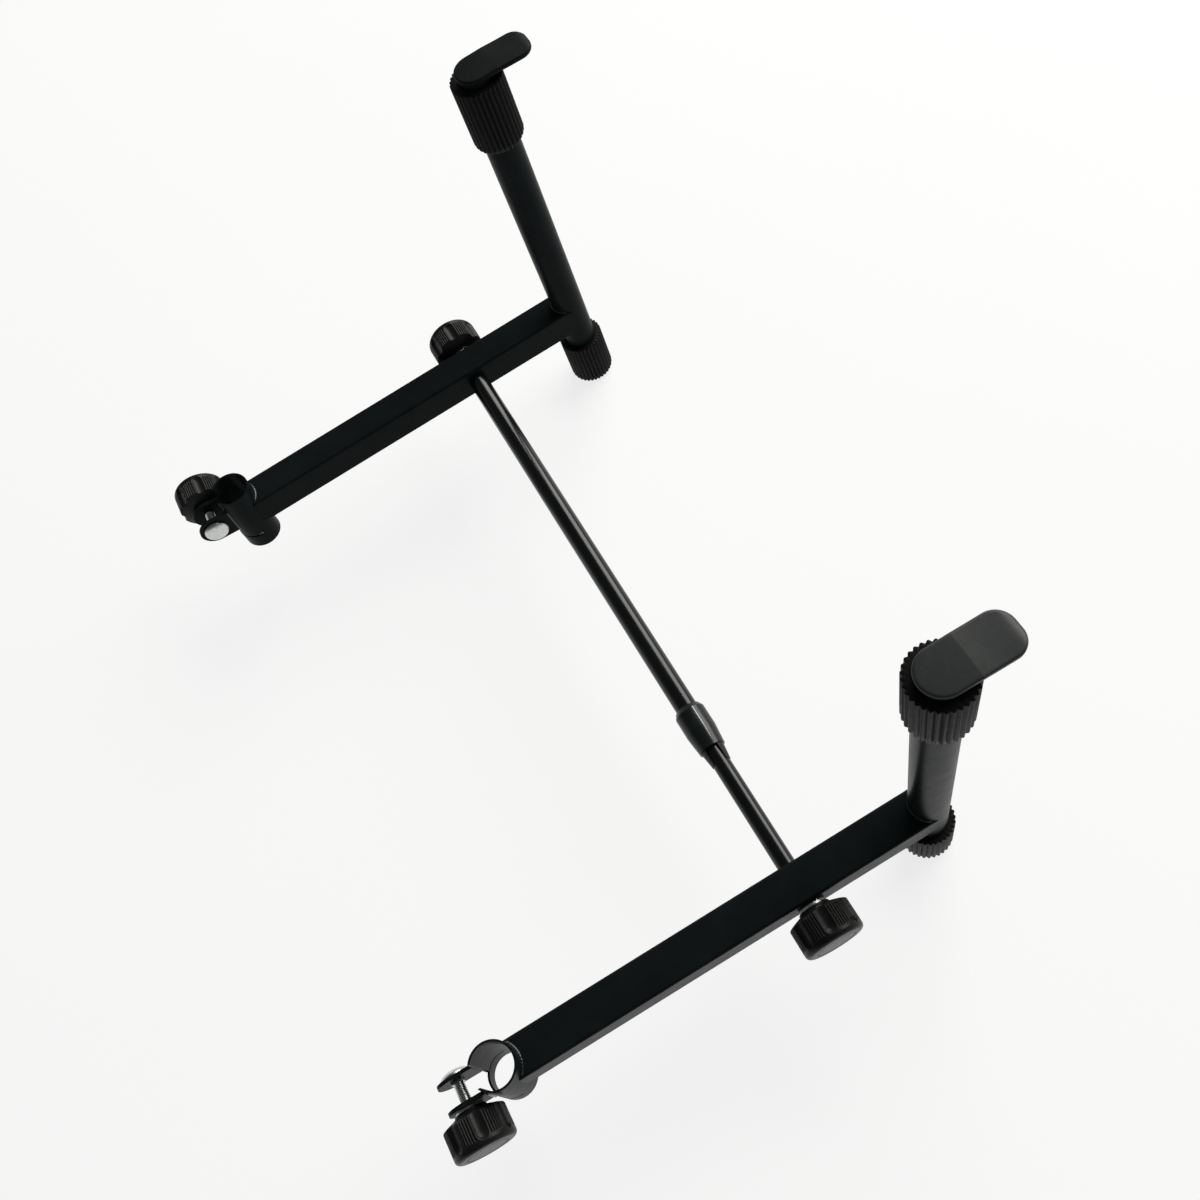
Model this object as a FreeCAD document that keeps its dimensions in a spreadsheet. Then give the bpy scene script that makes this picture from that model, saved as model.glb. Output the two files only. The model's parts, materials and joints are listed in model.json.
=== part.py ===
import FreeCAD, Part
import math
import os
import re

import Sketcher
from FreeCAD import Placement, Rotation, Vector

# Clamp-on second tier of a keyboard stand, in millimetres. +X runs along the crossbar from the left arm to
# the right arm, -Y is the front, where the posts carry the keyboard, +Y is the back, where the clamps grip
# the stand, and +Z is up along the posts. The origin lies on the floor under the middle of the whole.

# Driving sizes: name, value in millimetres (angles in degrees, counts as they are) and meaning
SIZES = [
    # Whole
    ("bar_span", 504, "left arm's middle to right arm's middle"),
    ("bar_height", 82, "floor to the crossbar's axis"),
    ("post_reach", 98, "crossbar's axis to the post's axis"),
    ("clamp_reach", 224, "crossbar's axis to the clamp's axis, at the arm's middle height"),
    ("clamp_lean", 5, "angle of the clamp tube against the post"),
    # Clearances and cuts
    ("weld_gap", 0.3, "gap between a coped end and the tube that it is welded to"),
    ("seat_gap", 0.06, "radial gap of a piece pressed into or onto another"),
    ("turn_gap", 0.08, "radial gap of a piece that turns or slides on another"),
    ("touch_gap", 0.05, "gap between flat faces that rest on each other"),
    ("cut_over", 4, "length by which a cut runs past its piece"),
    # Arm and post
    ("arm_side", 26.8, "outer side of the square tube"),
    ("arm_wall", 1.5, "wall of the square tube"),
    ("arm_corner", 2, "outer corner radius of the square tube"),
    ("post_d", 26.6, "outer diameter of the post"),
    ("post_wall", 1.5, "wall of the post"),
    # Foot, plug, grip cap and tongue of a post
    ("grip_d", 37.2, "diameter over the flutes of the foot and the cap"),
    ("flute_count", 32, "flutes round the foot and the cap"),
    ("flute_width", 2.9, "width of a flute at the surface"),
    ("flute_depth", 1.3, "depth of a flute"),
    ("foot_length", 47.5, "height of the foot"),
    ("foot_floor", 4, "thickness of the foot's floor"),
    ("foot_round", 5, "rounding of the foot's lower edge"),
    ("cap_height", 245.5, "crossbar's axis to the cap's top face"),
    ("cap_length", 52, "height of the cap"),
    ("cap_roof", 5, "thickness of the cap's roof"),
    ("cap_round", 4, "rounding of the cap's lower edge"),
    ("plug_flange", 2, "thickness of the plug's flange on the post's end"),
    ("plug_length", 18, "length of the plug inside the post"),
    ("pad_width", 26.6, "width of the tongue"),
    ("pad_outer", 31.1, "post's axis to the centres of the tongue's tip corners"),
    ("pad_corner", 10.5, "corner radius of the tongue's tip"),
    ("pad_bend", 13.3, "post's axis to the line where the tongue bends"),
    ("pad_drop", 2, "angle the tongue's outer half drops by"),
    ("pad_thick", 3.5, "thickness of the tongue"),
    ("pad_boss_d", 24, "diameter of the boss under the tongue"),
    ("pad_boss_height", 4, "height of the boss under the tongue"),
    ("pad_pin_d", 12, "diameter of the tongue's pin in the cap's roof"),
    # Clamp tube and ears
    ("clamp_bore", 28.4, "bore of the clamp tube"),
    ("clamp_wall", 1.5, "wall of the clamp tube"),
    ("clamp_top", 30, "arm's middle to the clamp tube's upper end"),
    ("clamp_bottom", 37, "arm's middle to the clamp tube's lower end"),
    ("saw_level", 20.5, "arm's middle down to the saw cut"),
    ("saw_width", 2, "width of the saw cut"),
    ("saw_past", 2, "length by which the saw cut runs past the clamp tube's axis"),
    ("ear_gap", 15.2, "gap between the ears and width of the slit"),
    ("ear_plate", 2.5, "thickness of an ear"),
    ("ear_round", 13.5, "radius of an ear's end"),
    ("bolt_reach", 28, "clamp tube's axis to the bolt's axis"),
    ("bolt_rise", 4.5, "arm's middle up to the bolt's axis, along the clamp tube"),
    # Threads and washers
    ("thread_d", 8, "diameter of the bolts and studs"),
    ("hole_gap", 0.4, "radial gap of a bolt in a plain hole"),
    ("head_d", 20.6, "diameter of the bolt's cup head"),
    ("head_height", 5, "height of the bolt's cup head"),
    ("head_round", 4.4, "rounding of the bolt's cup head"),
    ("neck_side", 8.2, "side of the bolt's square neck"),
    ("neck_length", 4, "length of the bolt's square neck"),
    ("washer_d", 20, "diameter of a washer"),
    ("washer_thick", 1.6, "thickness of a washer"),
    # Knob
    ("knob_d", 42.4, "diameter of a knob"),
    ("knob_length", 26, "length of a knob from its neck to its face"),
    ("knob_neck_d", 22, "diameter of a knob's neck"),
    ("knob_neck", 1.4, "length of the straight part of a knob's neck"),
    ("knob_shoulder", 5, "neck end to the knob's full diameter"),
    ("knob_edge", 3.2, "rounding of a knob's face"),
    ("knob_corner", 1.2, "rounding of a knob's shoulder"),
    ("lobe_count", 7, "lobes round a knob"),
    ("valley_radius", 7, "radius of the hollow between two lobes"),
    ("valley_depth", 1.9, "depth of the hollow between two lobes"),
    ("valley_stop", 1.6, "knob's face to the end of the hollow"),
    ("rib_pitch", 5.2, "angle between two grip lines"),
    ("rib_width", 1.0, "width of a grip line"),
    ("rib_depth", 0.6, "depth of a grip line"),
    ("rib_stop", 4.4, "knob's face to the end of a grip line"),
    ("face_ring_d", 27, "diameter of the shallow ring on a knob's face"),
    ("face_ring_width", 0.8, "width of that ring"),
    ("face_ring_depth", 0.4, "depth of that ring"),
    ("insert_d", 13, "diameter of a knob's threaded insert"),
    ("insert_length", 12, "length of a knob's threaded insert"),
    ("knob_hole", 20, "depth of a knob's hole"),
    ("clamp_knob_turn", 6.8, "turn of a clamp knob as it stands"),
    ("bar_knob_turn", 43.2, "turn of a bar knob as it stands"),
    ("screw_end", 1.5, "gap between a screw's end and the bottom of the knob's hole"),
    # Crossbar and its fixing to the arms
    ("outer_tube_d", 15.9, "diameter of the crossbar's thicker tube"),
    ("inner_tube_d", 13, "diameter of the crossbar's thinner tube"),
    ("tube_wall", 1.2, "wall of both tubes"),
    ("inner_length", 320, "length of the thinner tube"),
    ("bar_insert_length", 25, "length of the threaded plug in the crossbar's end"),
    ("screw_grip", 18, "length of the stud inside the crossbar's plug"),
    ("bush_d", 11, "diameter of the bush through the arm"),
    ("bush_flange_d", 19, "diameter of the bush's flange"),
    ("bush_flange", 1.2, "thickness of the bush's flange"),
    ("guide_length", 10, "length of the guide bush outside the thinner tube"),
    ("guide_plug", 12, "length of the guide bush inside the thinner tube"),
    # Lock of the crossbar
    ("collar_start", 108.4, "left arm's middle to the collar's nose"),
    ("collar_length", 34, "length of the collar"),
    ("collar_d", 22.4, "largest diameter of the collar"),
    ("collar_nose_d", 19.4, "diameter of the collar's nose"),
    ("collar_waist", 15, "collar's nose to the start of its full diameter"),
    ("collar_shoulder", 3.4, "length of the slope at the collar's wide end"),
    ("collar_rim", 1.4, "wall of the collar at its wide end"),
    ("recess_depth", 3, "depth of the recess in the collar's nose"),
    ("recess_d", 17.4, "bore of the recess in the collar's nose"),
    ("collet_body", 12, "collar's nose to the end of the thicker tube"),
    ("collet_tip", 12, "length of the collet's tip outside the collar"),
    ("collet_edge", 0.5, "wall of the collet at its tip"),
    ("collet_slit", 9.6, "width of the gap between the collet's two petals"),
]
NAMES = [alias for alias, size, note in SIZES]

doc = FreeCAD.newDocument("keyboard_tier")
sheet = doc.addObject("Spreadsheet::Sheet", "Sizes")
for row, (alias, size, note) in enumerate(SIZES, 1):
    sheet.set("A%d" % row, note)
    sheet.set("B%d" % row, str(size))
    sheet.setAlias("B%d" % row, alias)
doc.recompute()


# Expressions on the sheet's sizes

def bound(text):
    """Writes the sheet's name before each size in an expression."""
    return re.sub(r"[a-z]\w+", lambda word: "Sizes." * (word.group() in NAMES) + word.group(), text)


def number(text):
    """Value of an expression now."""
    return float(sheet.evalExpression(bound(text)))


EQUAL = number("touch_gap") / 10
X_AXIS = Vector(1, 0, 0)
Z_AXIS = Vector(0, 0, 1)


def flip(text, out):
    """An axial place, turned round where the piece points towards -X."""
    return text if out > 0 or text == "0" else "-(%s)" % text


# Bodies and sketches

def new_body(label):
    body = doc.addObject("PartDesign::Body", label)
    body.Label = label
    return body


def datum(body, role):
    """One of a body's own planes or axes."""
    return next(item for item in body.Origin.OriginFeatures if item.Role == role)


def new_sketch(body, role, lift="0"):
    """Sketch on one of the body's planes, lifted along the plane's normal."""
    sketch = body.newObject("Sketcher::SketchObject", body.Label + "_sketch")
    sketch.AttachmentSupport = [(datum(body, role), "")]
    sketch.MapMode = "FlatFace"
    if lift != "0":
        sketch.setExpression("AttachmentOffset.Base.z", bound(lift))
    return sketch


def hold(sketch, index, end, x, y):
    """Ties a point of a sketch to two expressions."""
    for kind, axis, text in (("DistanceX", -2, x), ("DistanceY", -1, y)):
        if text == "0":
            sketch.addConstraint(Sketcher.Constraint("PointOnObject", index, end, axis))
        else:
            tie = sketch.addConstraint(Sketcher.Constraint(kind, -1, 1, index, end, number(text)))
            sketch.setExpression("Constraints[%d]" % tie, bound(text))


def polygon(sketch, points):
    """Closed outline of straight edges through points given as expressions."""
    corners = [Vector(number(x), number(y), 0) for x, y in points]
    first = sketch.GeometryCount
    count = len(points)
    for k in range(count):
        sketch.addGeometry(Part.LineSegment(corners[k], corners[(k + 1) % count]))
    for k in range(count):
        sketch.addConstraint(Sketcher.Constraint("Coincident", first + k, 2, first + (k + 1) % count, 1))
        hold(sketch, first + k, 1, *points[k])


def rectangle(sketch, x_low, y_low, x_high, y_high):
    polygon(sketch, [(x_low, y_low), (x_high, y_low), (x_high, y_high), (x_low, y_high)])


def circle(sketch, x, y, diameter):
    centre = Vector(number(x), number(y), 0)
    index = sketch.addGeometry(Part.Circle(centre, Vector(0, 0, 1), number(diameter) / 2))
    hold(sketch, index, 3, x, y)
    tie = sketch.addConstraint(Sketcher.Constraint("Diameter", index, number(diameter)))
    sketch.setExpression("Constraints[%d]" % tie, bound(diameter))


def arc(sketch, x, y, radius, start, end):
    """Arc between two quarter points, counted in quarter turns from the sketch's first axis."""
    centre = Vector(number(x), number(y), 0)
    whole = Part.Circle(centre, Vector(0, 0, 1), number(radius))
    index = sketch.addGeometry(Part.ArcOfCircle(whole, start * math.pi / 2, end * math.pi / 2))
    hold(sketch, index, 3, x, y)
    tie = sketch.addConstraint(Sketcher.Constraint("Radius", index, number(radius)))
    sketch.setExpression("Constraints[%d]" % tie, bound(radius))
    for tip, turn in ((1, start), (2, end)):
        level = "Vertical" if turn % 2 else "Horizontal"
        sketch.addConstraint(Sketcher.Constraint(level, index, 3, index, tip))
    return index


def join(sketch, ends):
    """Straight edges between pairs of curve ends."""
    for (first, first_end), (second, second_end) in ends:
        edge = Part.LineSegment(sketch.getPoint(first, first_end), sketch.getPoint(second, second_end))
        index = sketch.addGeometry(edge)
        sketch.addConstraint(Sketcher.Constraint("Coincident", index, 1, first, first_end))
        sketch.addConstraint(Sketcher.Constraint("Coincident", index, 2, second, second_end))


# Features of a body

def add(body, kind, sketch=None):
    feature = body.newObject("PartDesign::" + kind, "%s_%s" % (body.Label, kind.lower()))
    if sketch:
        feature.Profile = sketch
        sketch.Visibility = False
    return feature


def pad(body, sketch, length, side="One side", back=False):
    feature = add(body, "Pad", sketch)
    feature.SideType = side
    feature.Reversed = back
    feature.setExpression("Length", bound(length))
    doc.recompute()


def cut(body, sketch, length=None, back=False):
    """Pocket of a length, or right through both ways, that has to take something away."""
    before = body.Shape.Volume
    feature = add(body, "Pocket", sketch)
    if length:
        feature.Reversed = back
        feature.setExpression("Length", bound(length))
    else:
        feature.SideType = "Symmetric"
        feature.Type = "ThroughAll"
    doc.recompute()
    if body.Shape.Volume >= before:
        raise RuntimeError("a cut takes nothing away from " + body.Label)
    return feature


def soften(body, radius, chosen):
    """Rounds the edges that a test picks."""
    picked = ["Edge%d" % k for k, edge in enumerate(body.Shape.Edges, 1) if chosen(edge)]
    base = body.Tip
    feature = add(body, "Fillet")
    feature.Base = (base, picked)
    feature.setExpression("Radius", bound(radius))
    doc.recompute()


def repeat(body, features, role, count):
    """Repeats features round one of the body's axes."""
    pattern = add(body, "PolarPattern")
    pattern.Originals = features
    pattern.Axis = (datum(body, role), [""])
    pattern.Angle = 360
    pattern.setExpression("Occurrences", bound(count))
    body.Tip = pattern
    doc.recompute()


def turned(label, points, along="Z", out=1):
    """Round piece from its half section, a list of radius and place along its axis."""
    body = new_body(label)
    if along == "Z":
        sketch = new_sketch(body, "XZ_Plane")
        polygon(sketch, points)
        axis = "V_Axis"
    else:
        sketch = new_sketch(body, "XY_Plane")
        polygon(sketch, [(flip(place, out), radius) for radius, place in points])
        axis = "H_Axis"
    feature = add(body, "Revolution", sketch)
    feature.ReferenceAxis = (sketch, [axis])
    feature.Angle = 360
    doc.recompute()
    return body


def rim(axis, radius, place):
    """Test for a full circle of a radius about a body's axis, at a place along it."""
    def chosen(edge):
        if not isinstance(edge.Curve, Part.Circle) or abs(edge.Curve.Radius - number(radius)) > EQUAL:
            return False
        return abs(edge.Curve.Center.dot(axis) - number(place)) < EQUAL
    return chosen


def put(body, x, y, z, lean=None):
    """Places a body in the whole, leaning with the clamp where that is asked."""
    if lean:
        body.Placement = Placement(Vector(0, 0, 0), Rotation(X_AXIS, number(lean)))
        body.setExpression("Placement.Rotation.Angle", bound(lean))
    for name, text in (("x", x), ("y", y), ("z", z)):
        if text != "0":
            body.setExpression("Placement.Base." + name, bound(text))


# Places in the whole

CLAMP_BACK = "(clamp_reach + bolt_reach * cos(clamp_lean) - bolt_rise * sin(clamp_lean) + knob_d / 2)"
PAD_FRONT = "(post_reach + pad_outer + pad_corner)"
BAR_Y = "(%s - %s) / 2" % (PAD_FRONT, CLAMP_BACK)
POST_Y = BAR_Y + " - post_reach"
CLAMP_Y = BAR_Y + " + clamp_reach"
BOLT_Y = CLAMP_Y + " + bolt_reach * cos(clamp_lean) - bolt_rise * sin(clamp_lean)"
BOLT_Z = "bar_height + bolt_reach * sin(clamp_lean) + bolt_rise * cos(clamp_lean)"
ARM_X = {"left": "-bar_span / 2", "right": "bar_span / 2"}
OUT = {"left": -1, "right": 1}

CLAMP_D = "(clamp_bore + 2 * clamp_wall)"
THREAD_R = "thread_d / 2"
HOLE_R = "(thread_d / 2 + hole_gap)"
EAR_OUT = "(ear_gap / 2 + ear_plate)"
CAP_TOP = "(bar_height + cap_height)"
POST_TOP = "(bar_height + cap_height - cap_roof - touch_gap - plug_flange)"
POST_BORE_R = "(post_d / 2 - post_wall)"

# Stack of the pieces on a clamp bolt and on a bar stud, outwards from the arm's middle
CLAMP_WASHER = "(%s + touch_gap)" % EAR_OUT
CLAMP_KNOB = "(%s + 2 * touch_gap + washer_thick)" % EAR_OUT
BAR_WASHER = "(arm_side / 2 + bush_flange + 2 * touch_gap)"
BAR_KNOB = "(arm_side / 2 + bush_flange + 3 * touch_gap + washer_thick)"
BAR_END = "(arm_side / 2 + touch_gap)"


# Arm and post

def arm(side):
    """Square tube from the post's axis back to the clamp's axis, coped to both and bored for the crossbar."""
    body = new_body(side + "_arm")
    length = "(post_reach + clamp_reach)"
    sketch = new_sketch(body, "XZ_Plane")
    rectangle(sketch, "-arm_side / 2", "-arm_side / 2", "arm_side / 2", "arm_side / 2")
    pad(body, sketch, length, back=True)
    soften(body, "arm_corner", lambda edge: abs(edge.Length - number(length)) < EQUAL)
    hollow = "(arm_side / 2 - arm_wall)"
    sketch = new_sketch(body, "XZ_Plane")
    rectangle(sketch, "-" + hollow, "-" + hollow, hollow, hollow)
    cut(body, sketch)
    sketch = new_sketch(body, "XY_Plane")
    circle(sketch, "0", "0", "post_d + 2 * weld_gap")
    cut(body, sketch)
    sketch = new_sketch(body, "XY_Plane")
    sketch.AttachmentOffset = Placement(Vector(0, 0, 0), Rotation(X_AXIS, number("clamp_lean")))
    sketch.setExpression("AttachmentOffset.Rotation.Angle", bound("clamp_lean"))
    sketch.setExpression("AttachmentOffset.Base.y", bound(length))
    circle(sketch, "0", "0", CLAMP_D + " + 2 * weld_gap")
    cut(body, sketch)
    sketch = new_sketch(body, "YZ_Plane")
    circle(sketch, "post_reach", "0", "bush_d + 2 * seat_gap")
    cut(body, sketch)
    put(body, ARM_X[side], POST_Y, "bar_height")


def tube(label, diameter, bore, low, length):
    """Round tube along the body's Z."""
    body = new_body(label)
    sketch = new_sketch(body, "XY_Plane", low)
    circle(sketch, "0", "0", diameter)
    circle(sketch, "0", "0", bore)
    pad(body, sketch, length)
    return body


def post(side):
    body = tube(side + "_post", "post_d", "2 * " + POST_BORE_R, "foot_floor", POST_TOP + " - foot_floor")
    put(body, ARM_X[side], POST_Y, "0")


# Foot, plug, cap and tongue of a post

def flute(body):
    """Even V flutes along a sleeve, from end to end."""
    sketch = new_sketch(body, "XY_Plane")
    spread = "flute_width / 2 * (flute_depth + cut_over) / flute_depth"
    far = "grip_d / 2 + cut_over"
    polygon(sketch, [("grip_d / 2 - flute_depth", "0"), (far, spread), (far, "-" + spread)])
    repeat(body, [cut(body, sketch)], "Z_Axis", "flute_count")


def post_foot(side):
    bore = "post_d / 2 + seat_gap"
    body = turned(side + "_post_foot", [
        ("0", "0"), ("grip_d / 2", "0"), ("grip_d / 2", "foot_length"),
        (bore, "foot_length"), (bore, "foot_floor"), ("0", "foot_floor")])
    soften(body, "foot_round", rim(Z_AXIS, "grip_d / 2", "0"))
    flute(body)
    put(body, ARM_X[side], POST_Y, "0")


def swivel_plug(side):
    spigot = POST_BORE_R + " - seat_gap"
    body = turned(side + "_swivel_plug", [
        ("0", "-plug_length"), (spigot, "-plug_length"), (spigot, "0"),
        ("post_d / 2", "0"), ("post_d / 2", "plug_flange"), ("0", "plug_flange")])
    put(body, ARM_X[side], POST_Y, POST_TOP)


def grip_cap(side):
    """Fluted sleeve that turns on the post's end, with a hole in its roof for the tongue's pin."""
    bore = "post_d / 2 + turn_gap"
    pin = "pad_pin_d / 2 + seat_gap"
    body = turned(side + "_grip_cap", [
        (bore, "-cap_length"), ("grip_d / 2", "-cap_length"), ("grip_d / 2", "0"),
        (pin, "0"), (pin, "-cap_roof"), (bore, "-cap_roof")])
    soften(body, "cap_round", rim(Z_AXIS, "grip_d / 2", "-cap_length"))
    flute(body)
    put(body, ARM_X[side], POST_Y, CAP_TOP)


def support_pad(side):
    """Rubber tongue with a round end and a squarer tip that drops a little, on a boss with a pin."""
    body = new_body(side + "_support_pad")
    inner = "pad_width / 2"
    tip = "(pad_outer + pad_corner)"
    corner = "(pad_width / 2 - pad_corner)"
    low = "pad_boss_height"
    high = "pad_boss_height + pad_thick"
    drop = " - (%s - pad_bend) * tan(pad_drop)" % tip
    sketch = new_sketch(body, "YZ_Plane")
    polygon(sketch, [(inner, low), ("-pad_bend", low), ("-" + tip, low + drop),
                     ("-" + tip, high + drop), ("-pad_bend", high), (inner, high)])
    pad(body, sketch, "pad_width + 2 * cut_over", side="Symmetric")
    sketch = new_sketch(body, "XY_Plane")
    far = "pad_width / 2 + 2 * cut_over"
    rectangle(sketch, "-(%s)" % far, "-(%s + cut_over)" % tip, far, far)
    back = arc(sketch, "0", "0", inner, 0, 2)
    left = arc(sketch, "-" + corner, "-pad_outer", "pad_corner", 2, 3)
    right = arc(sketch, corner, "-pad_outer", "pad_corner", 3, 4)
    join(sketch, [((back, 2), (left, 1)), ((left, 2), (right, 1)), ((right, 2), (back, 1))])
    cut(body, sketch)
    sketch = new_sketch(body, "XY_Plane")
    circle(sketch, "0", "0", "pad_boss_d")
    pad(body, sketch, "pad_boss_height")
    sketch = new_sketch(body, "XY_Plane")
    circle(sketch, "0", "0", "pad_pin_d")
    pad(body, sketch, "cap_roof - touch_gap", back=True)
    put(body, ARM_X[side], POST_Y, CAP_TOP)


# Clamp

def clamp_tube(side):
    """Tube that leans with the stand's upright, slit between the ears down to a saw cut across it."""
    body = tube(side + "_clamp_tube", CLAMP_D, "clamp_bore", "-clamp_bottom", "clamp_top + clamp_bottom")
    sketch = new_sketch(body, "XZ_Plane")
    rectangle(sketch, "-ear_gap / 2", "-saw_level", "ear_gap / 2", "clamp_top + cut_over")
    cut(body, sketch, CLAMP_D + " / 2 + cut_over")
    sketch = new_sketch(body, "YZ_Plane")
    rectangle(sketch, "-saw_past", "-saw_level - saw_width", CLAMP_D + " / 2 + cut_over", "-saw_level")
    cut(body, sketch)
    put(body, ARM_X[side], CLAMP_Y, "bar_height", lean="clamp_lean")


def clamp_ear(side, name, out):
    """Plate with a round end, coped to the clamp tube and holed for the bolt."""
    body = new_body("%s_clamp_ear_%s" % (side, name))
    sketch = new_sketch(body, "YZ_Plane", "ear_gap / 2" if out > 0 else "-" + EAR_OUT)
    low = "bolt_rise - ear_round"
    high = "bolt_rise + ear_round"
    end = arc(sketch, "bolt_reach", "bolt_rise", "ear_round", -1, 1)
    root = sketch.addGeometry(Part.LineSegment(Vector(0, number(high), 0), Vector(0, number(low), 0)))
    hold(sketch, root, 1, "0", high)
    hold(sketch, root, 2, "0", low)
    join(sketch, [((root, 2), (end, 1)), ((end, 2), (root, 1))])
    pad(body, sketch, "ear_plate")
    sketch = new_sketch(body, "XY_Plane")
    circle(sketch, "0", "0", CLAMP_D + " + 2 * weld_gap")
    cut(body, sketch)
    sketch = new_sketch(body, "YZ_Plane")
    if name == "inner":
        half = "(neck_side / 2 + turn_gap)"
        rectangle(sketch, "bolt_reach - " + half, "bolt_rise - " + half,
                  "bolt_reach + " + half, "bolt_rise + " + half)
    else:
        circle(sketch, "bolt_reach", "bolt_rise", "2 * " + HOLE_R)
    cut(body, sketch)
    put(body, ARM_X[side], CLAMP_Y, "bar_height", lean="clamp_lean")


def on_bolt(body, side):
    put(body, ARM_X[side], BOLT_Y, BOLT_Z, lean="clamp_lean")


def clamp_bolt(side):
    """Cup-head bolt: head inside the inner ear, square neck in its hole, shank out into the knob."""
    out = OUT[side]
    head = "-(%s + touch_gap)" % EAR_OUT
    end = CLAMP_KNOB + " + knob_hole - screw_end"
    body = turned(side + "_clamp_bolt", [
        ("0", head + " - head_height"), ("head_d / 2", head + " - head_height"), ("head_d / 2", head),
        (THREAD_R, head), (THREAD_R, end), ("0", end)], "X", out)
    soften(body, "head_round", rim(X_AXIS, "head_d / 2", flip(head + " - head_height", out)))
    sketch = new_sketch(body, "YZ_Plane", flip(head, out))
    rectangle(sketch, "-neck_side / 2", "-neck_side / 2", "neck_side / 2", "neck_side / 2")
    pad(body, sketch, "neck_length", back=out < 0)
    on_bolt(body, side)


def washer(label, place, out):
    bore = HOLE_R
    return turned(label, [
        (bore, place), ("washer_d / 2", place),
        ("washer_d / 2", place + " + washer_thick"), (bore, place + " + washer_thick")], "X", out)


def knob_insert(label, place, out):
    bore = "(thread_d / 2 + turn_gap)"
    end = place + " + insert_length"
    section = [(bore, place), ("insert_d / 2", place), ("insert_d / 2", end), (bore, end)]
    return turned(label, section, "X", out)


# Grip lines of a lobe, counted from its middle
GRIP_LINES = (-2, -1, 0, 1, 2)


def knob(label, out):
    """Moulded knob: neck, shoulder, lobes with grip lines between hollows that stop short of a round rim."""
    face = "knob_length"
    socket = "insert_d / 2 + seat_gap"
    socket_end = "insert_length + touch_gap"
    ring_low = "face_ring_d / 2"
    ring_high = "face_ring_d / 2 + face_ring_width"
    ring_floor = "knob_length - face_ring_depth"
    body = turned(label, [
        (socket, "0"), ("knob_neck_d / 2", "0"), ("knob_neck_d / 2", "knob_neck"),
        ("knob_d / 2", "knob_shoulder"), ("knob_d / 2", face),
        (ring_high, face), (ring_high, ring_floor), (ring_low, ring_floor), (ring_low, face), ("0", face),
        ("0", "knob_hole"), (HOLE_R, "knob_hole"), (HOLE_R, socket_end), (socket, socket_end)], "X", out)
    soften(body, "knob_edge", rim(X_AXIS, "knob_d / 2", flip(face, out)))
    soften(body, "knob_corner", rim(X_AXIS, "knob_d / 2", flip("knob_shoulder", out)))
    repeat(body, [lobe_hollow(body, out), lobe_lines(body, out)], "X_Axis", "lobe_count")
    return body


def lobe_hollow(body, out):
    """Hollow between two lobes: a round-nosed groove about an axis outside the knob."""
    sketch = new_sketch(body, "XY_Plane")
    centre = "(knob_d / 2 - valley_depth + valley_radius)"
    floor = centre + " - valley_radius"
    nose = flip("knob_length - valley_stop - valley_radius", out)
    start = flip("-cut_over", out)
    turn = 3 if out > 0 else 2
    floor_end, axis_end = (1, 2) if out > 0 else (2, 1)
    end = arc(sketch, nose, centre, "valley_radius", turn, turn + 1)
    high = Vector(number(start), number(centre), 0)
    low = Vector(number(start), number(floor), 0)
    edge = sketch.addGeometry(Part.LineSegment(high, low))
    hold(sketch, edge, 1, start, centre)
    hold(sketch, edge, 2, start, floor)
    join(sketch, [((edge, 2), (end, floor_end)), ((end, axis_end), (edge, 1))])
    spin = sketch.addGeometry(Part.LineSegment(high, sketch.getPoint(end, 3)), True)
    sketch.addConstraint(Sketcher.Constraint("Coincident", spin, 1, edge, 1))
    sketch.addConstraint(Sketcher.Constraint("Coincident", spin, 2, end, 3))
    before = body.Shape.Volume
    feature = add(body, "Groove", sketch)
    feature.ReferenceAxis = (sketch, ["Axis0"])
    feature.Angle = 360
    doc.recompute()
    if body.Shape.Volume >= before:
        raise RuntimeError("the hollow takes nothing away from " + body.Label)
    return feature


def lobe_lines(body, out):
    """V-shaped grip lines along one lobe."""
    sketch = new_sketch(body, "YZ_Plane")
    low = "(knob_d / 2 - rib_depth)"
    high = "(knob_d / 2 + cut_over)"
    spread = "rib_width / 2 * (rib_depth + cut_over) / rib_depth"
    for line in GRIP_LINES:
        turn = "(180 / lobe_count + %d * rib_pitch)" % line
        corners = []
        for reach, aside in ((low, "0"), (high, "(%s)" % spread), (high, "(-%s)" % spread)):
            corners.append(("%s * cos(%s) - %s * sin(%s)" % (reach, turn, aside, turn),
                            "%s * sin(%s) + %s * cos(%s)" % (reach, turn, aside, turn)))
        polygon(sketch, corners)
    return cut(body, sketch, "knob_length - rib_stop", back=out > 0)


def clamp(side):
    out = OUT[side]
    clamp_tube(side)
    clamp_ear(side, "inner", -out)
    clamp_ear(side, "outer", out)
    clamp_bolt(side)
    on_bolt(washer(side + "_clamp_washer", CLAMP_WASHER, out), side)
    place_knob(side, "clamp", CLAMP_KNOB, on_bolt, "clamp_knob_turn")


def place_knob(side, name, stack, where, turn):
    """A knob, turned as it stands in the photo, and its insert, both out along X from the arm's middle."""
    out = OUT[side]
    body = knob("%s_%s_knob" % (side, name), out)
    where(body, side)
    body.Placement = Placement(body.Placement.Base, Rotation(X_AXIS, number(turn)))
    body.setExpression("Placement.Rotation.Angle", bound(turn))
    body.setExpression("Placement.Base.x", bound("%s + %s" % (ARM_X[side], flip(stack, out))))
    where(knob_insert("%s_%s_knob_insert" % (side, name), stack, out), side)


# Crossbar and its fixing to the arms

def on_bar(body, side):
    put(body, ARM_X[side], BAR_Y, "bar_height")


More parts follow.
